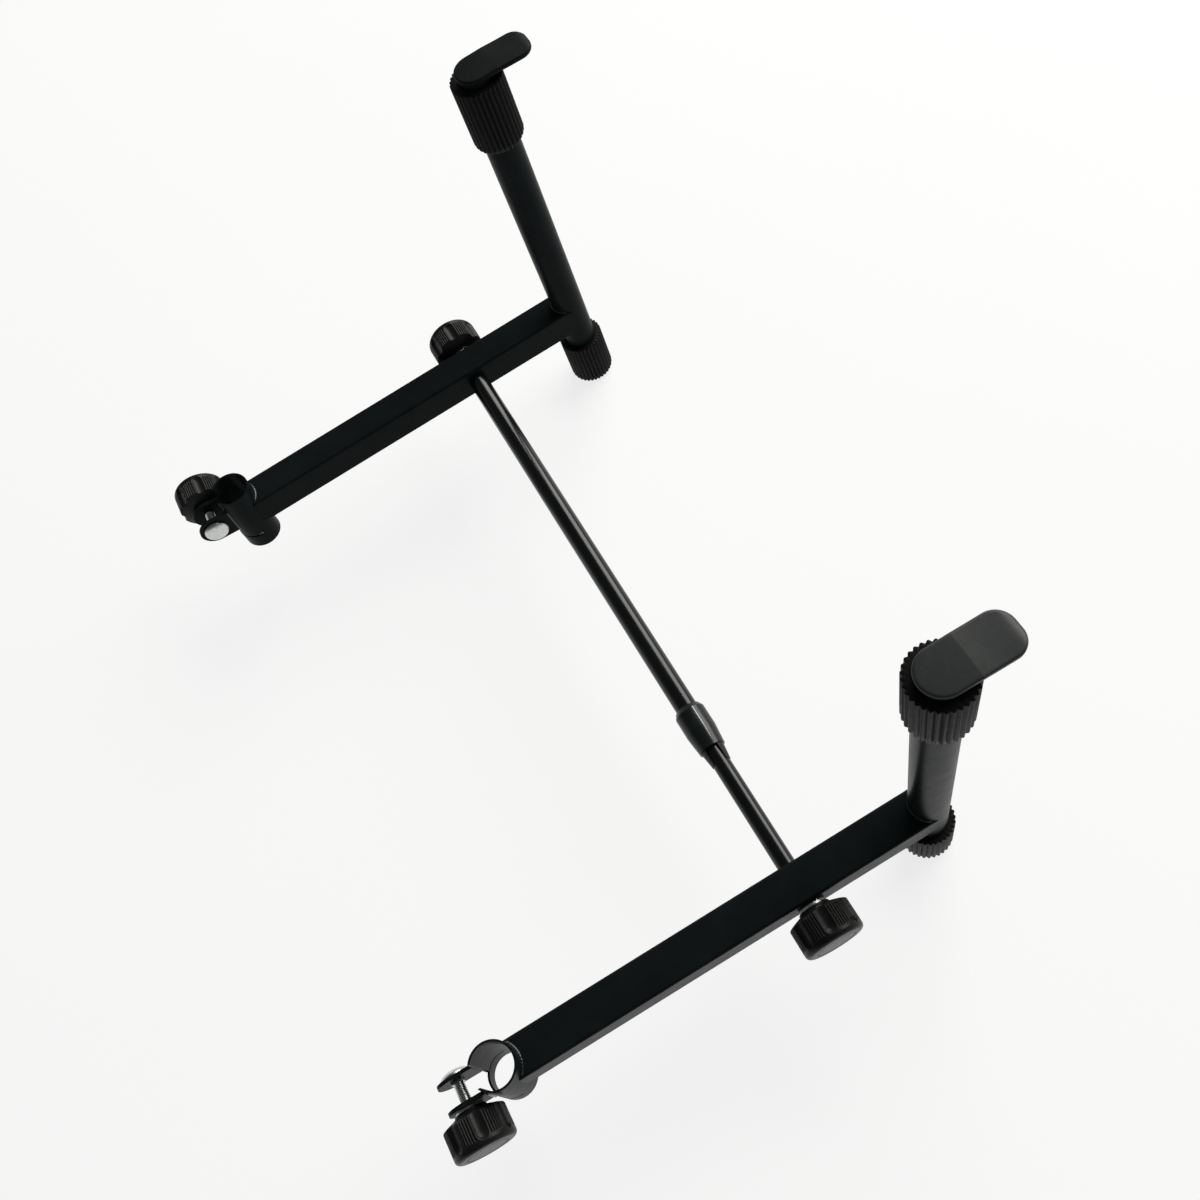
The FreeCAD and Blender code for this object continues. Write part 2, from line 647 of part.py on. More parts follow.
def arm_bush(side):
    bore = HOLE_R
    body = turned(side + "_arm_bush", [
        (bore, "-arm_side / 2"), ("bush_d / 2", "-arm_side / 2"), ("bush_d / 2", "arm_side / 2 + touch_gap"),
        ("bush_flange_d / 2", "arm_side / 2 + touch_gap"),
        ("bush_flange_d / 2", "arm_side / 2 + touch_gap + bush_flange"),
        (bore, "arm_side / 2 + touch_gap + bush_flange")], "X", OUT[side])
    on_bar(body, side)


def bar_insert(side, tube_d):
    bore = "(thread_d / 2 + turn_gap)"
    plug = "(%s / 2 - tube_wall - seat_gap)" % tube_d
    near = "-" + BAR_END
    far = near + " - bar_insert_length"
    section = [(bore, near), (plug, near), (plug, far), (bore, far)]
    on_bar(turned(side + "_bar_insert", section, "X", OUT[side]), side)


def bar_screw(side):
    low = "-(%s + screw_grip)" % BAR_END
    high = BAR_KNOB + " + knob_hole - screw_end"
    section = [("0", low), (THREAD_R, low), (THREAD_R, high), ("0", high)]
    on_bar(turned(side + "_bar_screw", section, "X", OUT[side]), side)


def bar_fixing(side, tube_d):
    out = OUT[side]
    arm_bush(side)
    bar_insert(side, tube_d)
    bar_screw(side)
    on_bar(washer(side + "_bar_washer", BAR_WASHER, out), side)
    place_knob(side, "bar", BAR_KNOB, on_bar, "bar_knob_turn")


def bar_tube(label, diameter, low, high):
    """Tube along X between two places that count from the left arm's middle."""
    bore = "(%s / 2 - tube_wall)" % diameter
    radius = diameter + " / 2"
    on_bar(turned(label, [(bore, low), (radius, low), (radius, high), (bore, high)], "X"), "left")


def guide_bush():
    """Bush on the thinner tube's hidden end that slides in the thicker tube."""
    slide = "outer_tube_d / 2 - tube_wall - turn_gap"
    plug = "inner_tube_d / 2 - tube_wall - seat_gap"
    end = BAR_END + " + inner_length"
    on_bar(turned("guide_bush", [
        ("0", end + " - guide_plug"), (plug, end + " - guide_plug"), (plug, end),
        (slide, end), (slide, end + " + guide_length"), ("0", end + " + guide_length")], "X"), "left")


def lock_collar():
    bore = "(outer_tube_d / 2 + turn_gap)"
    nose = "collar_start"
    end = "collar_start + collar_length"
    on_bar(turned("lock_collar", [
        ("recess_d / 2", nose), ("collar_nose_d / 2", nose), ("collar_d / 2", nose + " + collar_waist"),
        ("collar_d / 2", end + " - collar_shoulder"), (bore + " + collar_rim", end), (bore, end),
        (bore, nose + " + recess_depth"), ("recess_d / 2", nose + " + recess_depth")], "X"), "left")


def lock_collet():
    """Sleeve against the thicker tube's end whose two petals grip the thinner tube."""
    bore = "(inner_tube_d / 2 + turn_gap)"
    nose = "collar_start"
    neck = "recess_d / 2 - turn_gap"
    step = nose + " + recess_depth - touch_gap"
    body = turned("lock_collet", [
        (bore, nose + " - collet_tip"), (bore + " + collet_edge", nose + " - collet_tip"), (neck, nose),
        (neck, step), ("outer_tube_d / 2", step), ("outer_tube_d / 2", nose + " + collet_body"),
        (bore, nose + " + collet_body")], "X")
    sketch = new_sketch(body, "XY_Plane")
    rectangle(sketch, nose + " - collet_tip - cut_over", "-collet_slit / 2", nose, "collet_slit / 2")
    cut(body, sketch)
    on_bar(body, "left")


def crossbar():
    bar_tube("bar_inner_tube", "inner_tube_d", BAR_END, BAR_END + " + inner_length")
    bar_tube("bar_outer_tube", "outer_tube_d", "collar_start + collet_body", "bar_span - " + BAR_END)
    guide_bush()
    lock_collar()
    lock_collet()


# Whole

for side in ("left", "right"):
    arm(side)
    post(side)
    post_foot(side)
    swivel_plug(side)
    grip_cap(side)
    support_pad(side)
    clamp(side)
bar_fixing("left", "inner_tube_d")
bar_fixing("right", "outer_tube_d")
crossbar()
doc.recompute()

# Check of every object, then one file for each piece
for item in doc.Objects:
    if "Invalid" in item.State or "Error" in item.State:
        raise RuntimeError("%s did not build: %s" % (item.Label, item.State))
bodies = [item for item in doc.Objects if item.TypeId == "PartDesign::Body"]
for body in bodies:
    if body.Shape.isNull() or not body.Shape.isValid() or len(body.Shape.Solids) != 1:
        raise RuntimeError(body.Label + " is not one valid solid")
os.makedirs("parts", exist_ok=True)
for body in bodies:
    body.Shape.exportStep("parts/%s.step" % body.Label)
print(len(bodies), "pieces")
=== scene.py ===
from functools import partial
import json
import math

import bpy
from mathutils import Matrix, Vector


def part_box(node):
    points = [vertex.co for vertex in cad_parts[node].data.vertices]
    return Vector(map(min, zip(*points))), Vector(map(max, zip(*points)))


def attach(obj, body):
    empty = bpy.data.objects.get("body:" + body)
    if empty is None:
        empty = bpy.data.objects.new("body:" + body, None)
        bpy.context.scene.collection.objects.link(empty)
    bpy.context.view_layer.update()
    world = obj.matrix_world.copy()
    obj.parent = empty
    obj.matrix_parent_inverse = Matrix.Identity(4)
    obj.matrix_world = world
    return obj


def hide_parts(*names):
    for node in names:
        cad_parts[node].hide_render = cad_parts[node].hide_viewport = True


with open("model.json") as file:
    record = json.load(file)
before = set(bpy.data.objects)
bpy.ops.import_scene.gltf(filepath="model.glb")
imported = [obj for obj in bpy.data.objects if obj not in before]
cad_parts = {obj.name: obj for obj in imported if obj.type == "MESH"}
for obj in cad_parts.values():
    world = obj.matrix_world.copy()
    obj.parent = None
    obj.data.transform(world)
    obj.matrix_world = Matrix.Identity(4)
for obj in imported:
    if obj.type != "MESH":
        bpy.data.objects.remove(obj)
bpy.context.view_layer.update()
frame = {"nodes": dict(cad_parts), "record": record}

# Looks of the clamp-on second tier of a keyboard stand. Lengths are in metres, in the frame of the solids:
# +X along the crossbar, -Y the front with the posts, +Z up.

MM = 0.001
TURN = 2 * math.pi
# The way along X that each side's knobs point
SIDES = {"left": -1, "right": 1}


# Curves and places

def quarter(steps):
    """Sine and cosine in even steps from 0 to 90 degrees."""
    angles = [TURN / 4 * k / steps for k in range(steps + 1)]
    return [(math.sin(angle), math.cos(angle)) for angle in angles]


def smooth_step(low, high, value):
    """Eases from 0 to 1 while a value goes from low to high."""
    share = min(1, max(0, (value - low) / (high - low)))
    return share * share * (3 - 2 * share)


def soft_min(a, b, width):
    """Smaller of two values with a rounded change-over."""
    share = min(1, max(0, 0.5 + 0.5 * (b - a) / width))
    return b + (a - b) * share - width * share * (1 - share) * 0.5


def box_middle(node):
    """Middle of a node's box."""
    low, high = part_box(node)
    return (low + high) / 2


def upright_place(middle, place, reach, angle):
    """Point at a height, a radius and an angle round an upright axis."""
    return Vector((middle.x + reach * math.cos(angle), middle.y + reach * math.sin(angle), place))


# Meshes

def strip_faces(first, second, count):
    """Quads between two closed rings of points."""
    faces = []
    for k in range(count):
        n = (k + 1) % count
        faces.append((first + k, first + n, second + n, second + k))
    return faces


def ring_points(profile, steps, place_of):
    """One ring of points for each place and radius of a profile."""
    return [place_of(place, radius, TURN * k / steps) for place, radius in profile for k in range(steps)]


def turned_mesh(profile, steps, place_of):
    """Closed surface round an axis. profile lists axial places and radii, from the axis back to it.
    place_of gives a point of the frame for a place along the axis, a radius and an angle."""
    rings = profile[1:-1]
    points = [place_of(profile[0][0], 0, 0)]
    points += ring_points(rings, steps, place_of)
    points.append(place_of(profile[-1][0], 0, 0))
    faces = []
    last = len(points) - 1
    start = last - steps
    for k in range(steps):
        n = (k + 1) % steps
        faces.append((0, 1 + n, 1 + k))
        faces.append((last, start + k, start + n))
    for row in range(len(rings) - 1):
        faces += strip_faces(1 + row * steps, 1 + (row + 1) * steps, steps)
    return points, faces


def ring_mesh(profile, steps, place_of):
    """Closed surface round an axis from a closed profile that stays off the axis."""
    faces = []
    for row in range(len(profile)):
        faces += strip_faces(row * steps, (row + 1) % len(profile) * steps, steps)
    return ring_points(profile, steps, place_of), faces


def rod_mesh(rings, steps):
    """Closed surface through rings of points in a row, with a flat face at each end."""
    points = []
    faces = []
    for row, ring in enumerate(rings):
        points += ring
        if row:
            faces += strip_faces((row - 1) * steps, row * steps, steps)
    last = (len(rings) - 1) * steps
    faces.append(tuple(range(steps))[::-1])
    faces.append(tuple(range(last, last + steps)))
    return points, faces


def joined(first, second):
    """One mesh from the points and faces of two."""
    points, faces = first
    more_points, more_faces = second
    start = len(points)
    return points + more_points, faces + [tuple(start + k for k in face) for face in more_faces]


def new_object(name, data):
    """Object in the scene, from a mesh, a camera or a lamp."""
    made = bpy.data.objects.new(name, data)
    bpy.context.scene.collection.objects.link(made)
    return made


def new_piece(name, points, faces, material, body):
    """Smooth mesh object that rides on a body and wears the material it is given."""
    mesh = bpy.data.meshes.new(name)
    mesh.from_pydata([tuple(point) for point in points], [], faces)
    mesh.update()
    mesh.polygons.foreach_set("use_smooth", [True] * len(mesh.polygons))
    piece = new_object(name, mesh)
    piece.data.materials.append(material)
    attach(piece, body)
    return piece


def sharpen(piece, degrees):
    """Keeps edges sharper than an angle crisp in the smooth shading."""
    piece.data.set_sharp_from_angle(angle=math.radians(degrees))


# Nodes of materials

def grey(value):
    """Colour with three equal parts."""
    return (value, value, value)


def new_material(name):
    """Material with its node tree and its shader."""
    material = bpy.data.materials.new(name)
    material.use_nodes = True
    tree = material.node_tree
    return material, tree, tree.nodes["Principled BSDF"]


def noise(tree, scale, detail=4, rough=0.5):
    """Noise over a piece's own coordinates, scale in features per metre."""
    place = tree.nodes.new("ShaderNodeTexCoord")
    texture = tree.nodes.new("ShaderNodeTexNoise")
    texture.inputs["Scale"].default_value = scale
    texture.inputs["Detail"].default_value = detail
    texture.inputs["Roughness"].default_value = rough
    tree.links.new(place.outputs["Object"], texture.inputs["Vector"])
    return texture.outputs["Fac"]


def ramp(tree, value, stops):
    """Colour ramp with stops of place and colour."""
    node = tree.nodes.new("ShaderNodeValToRGB")
    tree.links.new(value, node.inputs["Fac"])
    elements = node.color_ramp.elements
    while len(elements) < len(stops):
        elements.new(1)
    for element, (place, colour) in zip(elements, stops):
        element.position = place
        element.color = (*colour, 1)
    return node.outputs["Color"]


def cloudy(tree, bsdf, clouds, stops):
    """Gives a shader a colour that wanders with a noise."""
    tree.links.new(ramp(tree, noise(tree, *clouds), stops), bsdf.inputs["Base Color"])


def uneven(tree, bsdf, gloss, rough):
    """Gives a shader a roughness that wanders with a noise between two values."""
    node = tree.nodes.new("ShaderNodeMapRange")
    low, high = rough
    node.inputs["To Min"].default_value = low
    node.inputs["To Max"].default_value = high
    tree.links.new(noise(tree, *gloss), node.inputs["Value"])
    tree.links.new(node.outputs["Result"], bsdf.inputs["Roughness"])


def grained(tree, bsdf, grain, strength, depth):
    """Gives a shader a fine relief from a noise."""
    node = tree.nodes.new("ShaderNodeBump")
    node.inputs["Strength"].default_value = strength
    node.inputs["Distance"].default_value = depth
    tree.links.new(noise(tree, *grain), node.inputs["Height"])
    tree.links.new(node.outputs["Normal"], bsdf.inputs["Normal"])


# Materials. A noise is given as features per metre, detail and roughness.

PAINT_CLOUDS = (38, 4)
PAINT_GLOSS = (120, 6)
PAINT_GRAIN_DETAIL = 3
PAINT_GRAIN_DEPTH = 0.05 * MM
PAINT_STOPS = (0.3, 0.75)

MOULDED_CLOUDS = (60, 5, 0.6)
MOULDED_GLOSS = (260, 4)
MOULDED_GRAIN_DETAIL = 2
MOULDED_GRAIN_DEPTH = 0.06 * MM
MOULDED_STOPS = (0.3, 0.72)

PLATED_CLOUDS = (420, 6)
PLATED_GLOSS = (900, 5)
PLATED_SCRATCHES = (2600, 2)
PLATED_SCRATCH_STRENGTH = 0.25
PLATED_SCRATCH_DEPTH = 0.02 * MM
PLATED_STOPS = (0.25, 0.7)

# The crease across a tongue, and how far the painted light runs to each side of it: a painted highlight on
# the crease and a paler outer half, painted as if lit
CREASE_Y = -177.85 * MM
CREASE_REACH = 28.3 * MM
PAINTED_CREASE_LIGHT_STOPS = (0.495, 0.505, 0.72, 1)
MOTTLE_CLOUDS = (240, 6, 0.6)
MOTTLE_STOPS = [(0.3, grey(0.72)), (0.7, grey(1))]
TONGUE_GLOSS = (300, 4)
TONGUE_ROUGH = (0.40, 0.52)
TONGUE_SHINE = 0.32
TONGUE_GRAIN = (1700, 2)
TONGUE_GRAIN_STRENGTH = 0.5


def coated(name, dark, pale, rough, shine, grain, strength):
    """Paint on metal: cloudy colour, uneven gloss and a fine orange peel."""
    material, tree, bsdf = new_material(name)
    cloudy(tree, bsdf, PAINT_CLOUDS, list(zip(PAINT_STOPS, (dark, pale))))
    uneven(tree, bsdf, PAINT_GLOSS, rough)
    grained(tree, bsdf, (grain, PAINT_GRAIN_DETAIL), strength, PAINT_GRAIN_DEPTH)
    bsdf.inputs["Specular IOR Level"].default_value = shine
    return material


def moulded(name, dark, pale, rough, shine, grain, strength):
    """Rubber or plastic: faint mottling, uneven sheen and a fine moulded grain."""
    material, tree, bsdf = new_material(name)
    cloudy(tree, bsdf, MOULDED_CLOUDS, list(zip(MOULDED_STOPS, (dark, pale))))
    uneven(tree, bsdf, MOULDED_GLOSS, rough)
    grained(tree, bsdf, (grain, MOULDED_GRAIN_DETAIL), strength, MOULDED_GRAIN_DEPTH)
    bsdf.inputs["Specular IOR Level"].default_value = shine
    return material


def plated(name, dark, pale, rough):
    """Bright plated metal with fine scratches and a cloudy film."""
    material, tree, bsdf = new_material(name)
    cloudy(tree, bsdf, PLATED_CLOUDS, list(zip(PLATED_STOPS, (dark, pale))))
    uneven(tree, bsdf, PLATED_GLOSS, rough)
    grained(tree, bsdf, PLATED_SCRATCHES, PLATED_SCRATCH_STRENGTH, PLATED_SCRATCH_DEPTH)
    bsdf.inputs["Metallic"].default_value = 1
    return material


def painted_crease_light(tree, painted_light_colours):
    """Painted light along a tongue, as colour: the inner half, a painted highlight at the crease, the outer
    half painted paler as if lit, and the tip it fades to.
    """
    place = tree.nodes.new("ShaderNodeTexCoord")
    split = tree.nodes.new("ShaderNodeSeparateXYZ")
    tree.links.new(place.outputs["Object"], split.inputs["Vector"])
    along = tree.nodes.new("ShaderNodeMapRange")
    along.inputs["From Min"].default_value = CREASE_Y + CREASE_REACH
    along.inputs["From Max"].default_value = CREASE_Y - CREASE_REACH
    tree.links.new(split.outputs["Y"], along.inputs["Value"])
    # The ramp paints light into the colour: a bright band at the crease and a paler outer half
    return ramp(tree, along.outputs["Result"], list(zip(PAINTED_CREASE_LIGHT_STOPS, painted_light_colours)))


def rubber_with_painted_crease_light(name, inner, painted_crease_highlight, painted_lit_outer, tip):
    """Matt rubber of a tongue with painted light: a painted highlight at the crease, and the outer half
    painted paler, as if lit, fading from the crease to the tip.
    """
    material, tree, bsdf = new_material(name)
    mix = tree.nodes.new("ShaderNodeMix")
    mix.data_type = "RGBA"
    mix.blend_type = "MULTIPLY"
    mix.inputs["Factor"].default_value = 1
    tree.links.new(painted_crease_light(tree, (inner, painted_crease_highlight, painted_lit_outer, tip)), mix.inputs["A"])
    tree.links.new(ramp(tree, noise(tree, *MOTTLE_CLOUDS), MOTTLE_STOPS), mix.inputs["B"])
    tree.links.new(mix.outputs["Result"], bsdf.inputs["Base Color"])
    uneven(tree, bsdf, TONGUE_GLOSS, TONGUE_ROUGH)
    grained(tree, bsdf, TONGUE_GRAIN, TONGUE_GRAIN_STRENGTH, MOULDED_GRAIN_DEPTH)
    bsdf.inputs["Specular IOR Level"].default_value = TONGUE_SHINE
    return material


FRAME_BLACK = coated(
    "frame_black", dark=(0.0055, 0.0080, 0.0085), pale=(0.0090, 0.0120, 0.0125),
    rough=(0.28, 0.40), shine=0.03, grain=1500, strength=0.35)
WELD_BLACK = coated(
    "weld_black", dark=(0.004, 0.005, 0.005), pale=(0.007, 0.008, 0.008),
    rough=(0.12, 0.22), shine=0.5, grain=2200, strength=0.5)
BAR_BLACK = coated(
    "bar_black", dark=(0.003, 0.004, 0.004), pale=(0.005, 0.006, 0.006),
    rough=(0.16, 0.24), shine=0.32, grain=900, strength=0.2)
GRIP_RUBBER = moulded(
    "grip_rubber", dark=grey(0.004), pale=grey(0.008),
    rough=(0.42, 0.56), shine=0.08, grain=2400, strength=0.4)
KNOB_PLASTIC = moulded(
    "knob_plastic", dark=grey(0.005), pale=grey(0.010),
    rough=(0.28, 0.40), shine=0.13, grain=3200, strength=0.3)
COLLAR_PLASTIC = moulded(
    "collar_plastic", dark=(0.004, 0.006, 0.006), pale=(0.010, 0.013, 0.013),
    rough=(0.20, 0.36), shine=0.30, grain=1400, strength=0.4)
MOULD_LINE = moulded(
    "mould_line", dark=(0.006, 0.007, 0.007), pale=(0.012, 0.014, 0.014),
    rough=(0.08, 0.18), shine=1, grain=1400, strength=0.2)
NYLON = moulded(
    "nylon_black", dark=grey(0.006), pale=grey(0.012),
    rough=(0.34, 0.44), shine=0.25, grain=1800, strength=0.3)
# Tongue rubber with painted light: a painted highlight at the crease and an outer half painted paler, as if
# lit
PAINTED_LIGHT_PAD_RUBBER = rubber_with_painted_crease_light(
    "pad_rubber", inner=(0.013, 0.017, 0.017), painted_crease_highlight=(0.032, 0.036, 0.035),
    painted_lit_outer=(0.018, 0.022, 0.022), tip=(0.016, 0.019, 0.020))
# A darker copy of the tongue rubber, without the crease: painted shade for the right tongue
PAINTED_SHADE_PAD_RUBBER = moulded(
    "pad_rubber_painted_shade", dark=(0.005, 0.007, 0.007), pale=(0.009, 0.011, 0.011),
    rough=(0.42, 0.55), shine=0.04, grain=1700, strength=0.5)
ZINC = plated("zinc_steel", dark=(0.48, 0.50, 0.48), pale=(0.68, 0.70, 0.67), rough=(0.24, 0.38))
BRASS = plated("brass_insert", dark=(0.55, 0.40, 0.16), pale=(0.72, 0.55, 0.26), rough=(0.25, 0.4))

SLOT_LOOKS = {
    "frame_black": FRAME_BLACK, "bar_black": BAR_BLACK, "grip_rubber": GRIP_RUBBER, "pad_rubber": PAINTED_LIGHT_PAD_RUBBER,
    "knob_plastic": KNOB_PLASTIC, "nylon_black": NYLON, "zinc_steel": ZINC, "brass_insert": BRASS}
NODE_LOOKS = {"lock_collar": COLLAR_PLASTIC}
# The left tongue carries painted light along its crease; the right one wears the darker copy, a painted shade
PAD_LOOKS = {"left": PAINTED_LIGHT_PAD_RUBBER, "right": PAINTED_SHADE_PAD_RUBBER}


def dress_solids():
    """Gives each solid its own look or the look of its slot."""
    for part in frame["record"]["subparts"]:
        name = part["node"]
        look = NODE_LOOKS.get(name, SLOT_LOOKS[part["material_slot"]])
        materials = frame["nodes"][name].data.materials
        if not materials:
            materials.append(look)
        for k in range(len(materials)):
            materials[k] = look


# Fluted sleeves of the posts

FLUTES = 32
FLUTE_DEPTH = 1.3 * MM
FLUTE_OPEN_SHARE = 0.80
FLUTE_STEPS = 10
# Share of the wall, from the bore out, that stays free of flutes
FLUTE_FREE_SHARE = 0.2
SLEEVE_WALL = 5.6 * MM
SLEEVE_LIP = 0.5 * MM
SLEEVE_LOW_STEPS = 6
SLEEVE_TOP_STEPS = 3
SLEEVE_SHARP_DEGREES = 38

FOOT_LOW_ROUND = 5 * MM
FOOT_TOP_ROUND = 0.5 * MM
FOOT_SOLE_RINGS = (4 * MM, 9 * MM)
FOOT_MOUTH = 0.4 * MM
FOOT_FLOOR = 4 * MM
FOOT_FLOOR_RIM = 6 * MM

CAP_LOW_ROUND = 4 * MM
CAP_TOP_ROUND = 0.6 * MM
CAP_ROOF = 5 * MM
CAP_TOP_RING = 3 * MM
CAP_PIN_HOLE = 6.1 * MM


def crest_radius(node):
    """Radius of a sleeve's flat crests, which bound the box of its solid."""
    low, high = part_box(node)
    return max(high.x - low.x, high.y - low.y) / 2


def fluted_place(middle, bore, place, reach, angle):
    """Point of a fluted sleeve: V flutes between narrow flat crests, and none near the bore."""
    if reach > bore + FLUTE_FREE_SHARE * SLEEVE_WALL:
        phase = abs((angle * FLUTES / TURN + 0.5) % 1 - 0.5) * 2
        reach -= FLUTE_DEPTH * max(0, 1 - phase / FLUTE_OPEN_SHARE)
    return upright_place(middle, place, reach, angle)


def sleeve_outside(node, low_round, top_round):
    """Outside of a sleeve's half section, from its rounded lower edge to its upper one."""
    low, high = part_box(node)
    radius = crest_radius(node)
    low_arc = quarter(SLEEVE_LOW_STEPS)
    top_arc = quarter(SLEEVE_TOP_STEPS)
    section = [(low.z + low_round * (1 - c), radius - low_round * (1 - s)) for s, c in low_arc]
    section += [(high.z - top_round * (1 - s), radius - top_round * (1 - c)) for s, c in top_arc]
    return section


def post_foot(side):
    """Fluted foot: closed and rounded below, open above round the post."""
    node = side + "_post_foot"
    low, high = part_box(node)
    bore = crest_radius(node) - SLEEVE_WALL
    profile = [(low.z, 0)] + [(low.z, radius) for radius in FOOT_SOLE_RINGS]
    profile += sleeve_outside(node, FOOT_LOW_ROUND, FOOT_TOP_ROUND)
    profile += [(high.z, bore + FOOT_MOUTH), (high.z - SLEEVE_LIP, bore)]
    profile += [(low.z + FOOT_FLOOR_RIM, bore), (low.z + FOOT_FLOOR, 0)]
    place_of = partial(fluted_place, box_middle(node), bore)
    points, faces = turned_mesh(profile, FLUTES * FLUTE_STEPS, place_of)
    piece = new_piece(side + "_foot_sleeve", points, faces, GRIP_RUBBER, side + "_frame")
    sharpen(piece, SLEEVE_SHARP_DEGREES)
    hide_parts(node)


def grip_cap(side):
    """Fluted cap: open below round the post, with a flat top that shows its teeth."""
    node = side + "_grip_cap"
    low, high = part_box(node)
    radius = crest_radius(node)
    bore = radius - SLEEVE_WALL
    profile = [(high.z - CAP_ROOF, CAP_PIN_HOLE), (high.z - CAP_ROOF, bore)]
    profile += [(low.z + SLEEVE_LIP, bore), (low.z, bore + SLEEVE_LIP)]
    profile += sleeve_outside(node, CAP_LOW_ROUND, CAP_TOP_ROUND)
    profile += [(high.z, radius - CAP_TOP_RING), (high.z, CAP_PIN_HOLE)]
    place_of = partial(fluted_place, box_middle(node), bore)
    points, faces = ring_mesh(profile, FLUTES * FLUTE_STEPS, place_of)
    piece = new_piece(side + "_cap_sleeve", points, faces, GRIP_RUBBER, side + "_cap")
    sharpen(piece, SLEEVE_SHARP_DEGREES)
    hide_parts(node)


# Rubber tongues

PAD_HALF = 13.3 * MM
PAD_OUTER = 31.1 * MM
PAD_CORNER_ASIDE = 2.8 * MM
PAD_TIP = 41.6 * MM
PAD_BEND = 13.3 * MM
PAD_DROP_START = 0.07
PAD_DROP_EASE = 1.24
PAD_THICK = 3.5 * MM
PAD_MID = PAD_THICK / 2
PAD_EDGE = 1.2 * MM
PAD_EDGE_STEPS = 5
PAD_TIP_EDGE = 5 * MM
PAD_TIP_ROUND = 4 * PAD_TIP_EDGE
PAD_CROWN = 0.2 * MM
PAD_CROWN_START_SHARE = 0.3
PAD_ARC_STEPS = 28
# Spots along the straight sides, two of them close to the crease so that it stays crisp
PAD_SPOTS = [-4.4 * MM, -8.8 * MM, -13.1 * MM, -13.5 * MM, -19.4 * MM, -25.3 * MM]
PAD_UNDER_SHARES = (0.3, 0.7)
PAD_TOP_SHARES = (0.84, 0.75, 0.62, 0.45, 0.25)
PAD_SHARP_DEGREES = 40
BOSS_R = 12 * MM
BOSS_HEIGHT = 4 * MM
BOSS_EDGE = 0.4 * MM
BOSS_STEPS = 64
PIN_R = 6 * MM
PIN_EDGE = 0.5 * MM


def tongue_outline():
    """Points round the tongue in plan: the centre to turn about, the way out and the reach to take off."""
    found = []
    for k in range(PAD_ARC_STEPS + 1):
        angle = math.pi * k / PAD_ARC_STEPS
        found.append((Vector((0, 0)), Vector((math.cos(angle), math.sin(angle))), 0))
    for spot in PAD_SPOTS:
        found.append((Vector((0, spot)), Vector((-1, 0)), 0))
    # Each outer corner is a quarter turn that starts at an angle given in half turns
    for side, turn in ((-1, 1), (1, 1.5)):
        corner = Vector((side * PAD_CORNER_ASIDE, -PAD_OUTER))
        for k in range(PAD_ARC_STEPS // 2 + 1):
            angle = math.pi * (turn + k / PAD_ARC_STEPS)
            found.append((corner, Vector((math.cos(angle), math.sin(angle))), PAD_CORNER_ASIDE))
    for spot in reversed(PAD_SPOTS):
        found.append((Vector((0, spot)), Vector((1, 0)), 0))
    return found


def tongue_rings():
    """Rings from the underside out over the edge and in over the top: reach and height over mid-thickness."""
    edge = quarter(PAD_EDGE_STEPS)
    rings = [(share * PAD_HALF, -PAD_MID) for share in PAD_UNDER_SHARES]
    rings += [(PAD_HALF - PAD_EDGE * (1 - s), -PAD_MID + PAD_EDGE * (1 - c)) for s, c in edge]
    rings += [(PAD_HALF - PAD_EDGE * (1 - c), PAD_MID - PAD_EDGE * (1 - s)) for s, c in edge]
    rings += [(share * PAD_HALF, PAD_MID) for share in PAD_TOP_SHARES]
    return rings


def tongue_lift(along, reach, height):
    """Rise of a point of the tongue: the droop of its outer half, and on top the crown and the round tip."""
    past_bend = max(0, -along - PAD_BEND)
    lift = -(PAD_DROP_START * past_bend - PAD_DROP_EASE * past_bend * past_bend)
    if height > 0:
        share = smooth_step(PAD_CROWN_START_SHARE * PAD_MID, PAD_MID, height)
        lift += PAD_CROWN * share * (1 - (reach / PAD_HALF) ** 2)
        past_tip = max(0, -along - PAD_TIP + PAD_TIP_EDGE)
        lift -= share * past_tip * past_tip / PAD_TIP_ROUND
    return lift


def across_faces(first, count, middle):
    """Fills a closed ring of points with strips from one side to the other."""
    faces = []
    for k in range(count // 2):
        strip = [middle + k, middle + k + 1, middle - k - 1, middle - k]
        faces.append(tuple(first + n for n in dict.fromkeys(spot % count for spot in strip)))
    return faces


def tongue_mesh(middle, flat_top):
    """Tongue with soft edges, a crease and a drooping outer half."""
    outline = tongue_outline()
    count = len(outline)
    rings = tongue_rings()
    points = []
    faces = []
    for reach, height in rings:
        for centre, out, less in outline:
            aside, along = centre + out * (reach - less)
            z = flat_top - PAD_CROWN - PAD_MID + height + tongue_lift(along, reach, height)
            points.append(Vector((middle.x + aside, middle.y + along, z)))
    for row in range(len(rings) - 1):
        faces += strip_faces(row * count, (row + 1) * count, count)
    faces += across_faces((len(rings) - 1) * count, count, PAD_ARC_STEPS // 2)
    faces += [face[::-1] for face in across_faces(0, count, PAD_ARC_STEPS // 2)]
    return points, faces


def boss_mesh(middle, pin_end, base, flat_top):
    """Round boss under the tongue, and its pin down into the cap."""
    profile = [(pin_end, 0), (pin_end, PIN_R - PIN_EDGE), (pin_end + PIN_EDGE, PIN_R), (base, PIN_R)]
    profile += [(base, BOSS_R - BOSS_EDGE), (base + BOSS_EDGE, BOSS_R), (flat_top - PAD_THICK, BOSS_R)]
    profile.append((flat_top - PAD_MID, 0))
    return turned_mesh(profile, BOSS_STEPS, partial(upright_place, middle))


